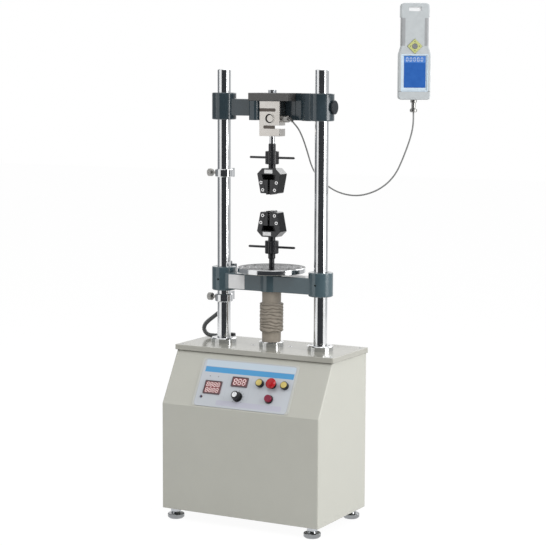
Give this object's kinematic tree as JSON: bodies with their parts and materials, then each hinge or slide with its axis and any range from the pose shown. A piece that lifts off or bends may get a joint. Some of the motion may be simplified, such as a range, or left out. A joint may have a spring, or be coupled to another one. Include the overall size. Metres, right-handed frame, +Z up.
{
  "type": "motorised force test stand",
  "caption": "Bench stand with a screw-driven crosshead on two columns, wedge grips, load cell and a corded hand gauge, over a sloped control cabinet.",
  "frame": {"origin": "on the floor under the middle of the cabinet", "axes": "+Z up along the columns, +X to the right seen from the front, +Y to the back"},
  "size_m": [0.5609, 0.2363, 1.121],
  "materials": {
    "cabinet_paint": "light grey textured powder coat",
    "deck_paint": "satin grey-beige paint",
    "casting": "hammered blue-grey enamel",
    "chrome": "bright hard chrome",
    "turned_steel": "turned steel",
    "zinc_steel": "zinc plated",
    "black_oxide": "black oxide",
    "plate_grey": "grey enamel",
    "bellows_rubber": "grey rubber",
    "black_plastic": "black moulded",
    "grey_plastic": "grey moulded",
    "panel_film": "silver overlay film",
    "yellow_plastic": "yellow",
    "red_plastic": "red",
    "display_black": "tinted window",
    "copper_motor": "grey enamel",
    "belt_rubber": "black toothed rubber",
    "board": "green laminate",
    "gauge_body": "light grey moulded",
    "gauge_keys": "olive yellow silicone",
    "cable_grey": "grey jacket"
  },
  "bodies": {
    "stand": {"cabinet_shell": "cabinet_paint", "rear_cover": "cabinet_paint", "top_plate": "deck_paint", "fasteners": "zinc_steel", "left_column": "chrome", "right_column": "chrome", "deck_flanges": "turned_steel", "bellows": "bellows_rubber", "limit_conduit": "grey_plastic", "deck_gland": "black_plastic", "control_panel": "panel_film", "panel_displays": "display_black", "switch_housings": "black_plastic", "drive_motor": "copper_motor", "motor_bracket": "zinc_steel", "drive_belt": "belt_rubber", "nut_bearings": "turned_steel", "bearing_housing": "plate_grey", "control_electronics": "board", "power_inlet": "black_plastic", "gauge_front_shell": "gauge_body", "gauge_back_shell": "gauge_body", "gauge_connector": "turned_steel", "sensor_cord": "cable_grey"},
    "screw_drive": {"drive_nut": "turned_steel"},
    "moving_crosshead": {"lower_crosshead": "casting", "crosshead_bushes": "turned_steel", "lead_screw": "turned_steel", "test_table": "chrome", "limit_switch": "black_plastic", "lower_grip_body": "black_oxide"},
    "motor_shaft": {"motor_pulley": "turned_steel"},
    "limit_rod": {"limit_plunger": "turned_steel"},
    "fixed_crosshead": {"upper_crosshead": "casting", "sensor_plate": "plate_grey", "load_cell": "turned_steel", "cell_connector": "turned_steel", "upper_grip_body": "black_oxide"},
    "crosshead_knob": {"clamp_knob": "black_plastic"},
    "upper_grip_drive": {"upper_grip_collar": "black_oxide"},
    "upper_left_wedge": {"upper_jaw_left": "turned_steel"},
    "upper_right_wedge": {"upper_jaw_right": "turned_steel"},
    "lower_grip_drive": {"lower_grip_collar": "black_oxide"},
    "lower_left_wedge": {"lower_jaw_left": "turned_steel"},
    "lower_right_wedge": {"lower_jaw_right": "turned_steel"},
    "upper_stop": {"upper_stop_collar": "chrome"},
    "upper_stop_thumbscrew": {"upper_stop_screw": "chrome"},
    "lower_stop": {"lower_stop_collar": "chrome"},
    "lower_stop_thumbscrew": {"lower_stop_screw": "chrome"},
    "speed_dial": {"speed_knob": "black_plastic"},
    "travel_down_key": {"down_button": "yellow_plastic"},
    "travel_up_key": {"up_button": "yellow_plastic"},
    "power_key": {"power_button": "red_plastic"},
    "stop_key": {"stop_button": "red_plastic"},
    "front_left_foot": {"foot_front_left": "chrome"},
    "front_right_foot": {"foot_front_right": "chrome"},
    "rear_left_foot": {"foot_rear_left": "chrome"},
    "rear_right_foot": {"foot_rear_right": "chrome"},
    "arrow_pad": {"gauge_arrow_pad": "gauge_keys"},
    "middle_key": {"gauge_middle_key": "grey_plastic"}
  },
  "joints": [
    {"name": "drive_nut_turn", "type": "hinge", "parent": "stand", "child": "screw_drive", "pos_m": [0, 0.033, 0.27], "axis": [0, 0, 1], "range_deg": [-1153, 217]},
    {"name": "crosshead_travel", "type": "slide", "parent": "stand", "child": "moving_crosshead", "axis": [0, 0, 1], "range_m": [-0.006, 0.032], "deforming": ["bellows", "limit_conduit"]},
    {"name": "motor_pulley_turn", "type": "hinge", "parent": "stand", "child": "motor_shaft", "pos_m": [-0.1, 0.014, 0.27], "axis": [0, 0, 1], "range_deg": [-3459, 650]},
    {"name": "limit_rod_slide", "type": "slide", "parent": "moving_crosshead", "child": "limit_rod", "axis": [0, 0, 1], "range_m": [-0.003, 0.003], "stiffness_N_per_m": 600},
    {"name": "upper_crosshead_height", "type": "slide", "parent": "stand", "child": "fixed_crosshead", "axis": [0, 0, 1], "range_m": [0, 0.045], "deforming": ["sensor_cord"]},
    {"name": "crosshead_knob_turn", "type": "hinge", "parent": "fixed_crosshead", "child": "crosshead_knob", "pos_m": [0.15, 0.033, 0.904], "axis": [1, 0, 0], "range_deg": [0, 360]},
    {"name": "upper_collar_turn", "type": "hinge", "parent": "fixed_crosshead", "child": "upper_grip_drive", "pos_m": [0, 0.033, 0.7936], "axis": [0, 0, 1], "range_deg": [0, 1441]},
    {"name": "upper_left_wedge_slide", "type": "slide", "parent": "fixed_crosshead", "child": "upper_left_wedge", "axis": [-0.2419, 0, 0.9703], "range_m": [0, 0.00825]},
    {"name": "upper_right_wedge_slide", "type": "slide", "parent": "fixed_crosshead", "child": "upper_right_wedge", "axis": [0.2419, 0, 0.9703], "range_m": [0, 0.00826]},
    {"name": "lower_collar_turn", "type": "hinge", "parent": "moving_crosshead", "child": "lower_grip_drive", "pos_m": [0, 0.033, 0.598], "axis": [0, 0, 1], "range_deg": [0, 1441]},
    {"name": "lower_left_wedge_slide", "type": "slide", "parent": "moving_crosshead", "child": "lower_left_wedge", "axis": [-0.2419, 0, -0.9703], "range_m": [0, 0.00825]},
    {"name": "lower_right_wedge_slide", "type": "slide", "parent": "moving_crosshead", "child": "lower_right_wedge", "axis": [0.2419, 0, -0.9703], "range_m": [0, 0.00826]},
    {"name": "upper_stop_slide", "type": "slide", "parent": "stand", "child": "upper_stop", "axis": [0, 0, 1], "range_m": [-0.1, 0.08]},
    {"name": "upper_thumbscrew_turn", "type": "hinge", "parent": "upper_stop", "child": "upper_stop_thumbscrew", "pos_m": [-0.15, 0.033, 0.75685], "axis": [-1, 0, 0], "range_deg": [0, 360]},
    {"name": "lower_stop_slide", "type": "slide", "parent": "stand", "child": "lower_stop", "axis": [0, 0, 1], "range_m": [-0.01, 0]},
    {"name": "lower_thumbscrew_turn", "type": "hinge", "parent": "lower_stop", "child": "lower_stop_thumbscrew", "pos_m": [-0.15, 0.033, 0.47955], "axis": [-1, 0, 0], "range_deg": [0, 360]},
    {"name": "speed_dial_turn", "type": "hinge", "parent": "stand", "child": "speed_dial", "pos_m": [-0.01, -0.09789, 0.28428], "axis": [0, -0.864, 0.5036], "range_deg": [-150, 150]},
    {"name": "travel_down_press", "type": "slide", "parent": "stand", "child": "travel_down_key", "axis": [0, 0.864, -0.5036], "range_m": [0, 0.003], "stiffness_N_per_m": 500, "springref_m": -0.001},
    {"name": "travel_up_press", "type": "slide", "parent": "stand", "child": "travel_up_key", "axis": [0, 0.864, -0.5036], "range_m": [0, 0.003], "stiffness_N_per_m": 500, "springref_m": -0.001},
    {"name": "power_press", "type": "slide", "parent": "stand", "child": "power_key", "axis": [0, 0.864, -0.5036], "range_m": [0, 0.003], "stiffness_N_per_m": 500, "springref_m": -0.001},
    {"name": "stop_press", "type": "slide", "parent": "stand", "child": "stop_key", "axis": [0, 0.864, -0.5036], "range_m": [0, 0.004], "stiffness_N_per_m": 500, "springref_m": -0.001},
    {"name": "front_left_foot_level", "type": "slide", "parent": "stand", "child": "front_left_foot", "axis": [0, 0, -1], "range_m": [0, 0.01]},
    {"name": "front_right_foot_level", "type": "slide", "parent": "stand", "child": "front_right_foot", "axis": [0, 0, -1], "range_m": [0, 0.01]},
    {"name": "rear_left_foot_level", "type": "slide", "parent": "stand", "child": "rear_left_foot", "axis": [0, 0, -1], "range_m": [0, 0.01]},
    {"name": "rear_right_foot_level", "type": "slide", "parent": "stand", "child": "rear_right_foot", "axis": [0, 0, -1], "range_m": [0, 0.01]},
    {"name": "arrow_pad_press", "type": "slide", "parent": "stand", "child": "arrow_pad", "axis": [-0.4772, 0.8788, 0], "range_m": [0, 0.0008], "stiffness_N_per_m": 900, "springref_m": -0.0005},
    {"name": "middle_key_press", "type": "slide", "parent": "stand", "child": "middle_key", "axis": [-0.4772, 0.8788, 0], "range_m": [0, 0.0008], "stiffness_N_per_m": 900, "springref_m": -0.0005}
  ],
  "couplings": [
    {"joint": "drive_nut_turn", "follows": "crosshead_travel", "rad_per_m": -628.32},
    {"joint": "motor_pulley_turn", "follows": "crosshead_travel", "rad_per_m": -1885},
    {"joint": "upper_right_wedge_slide", "follows": "upper_left_wedge_slide", "ratio": 1},
    {"joint": "upper_collar_turn", "follows": "upper_left_wedge_slide", "rad_per_m": 3048.3},
    {"joint": "lower_right_wedge_slide", "follows": "lower_left_wedge_slide", "ratio": 1},
    {"joint": "lower_collar_turn", "follows": "lower_left_wedge_slide", "rad_per_m": 3048.3}
  ]
}
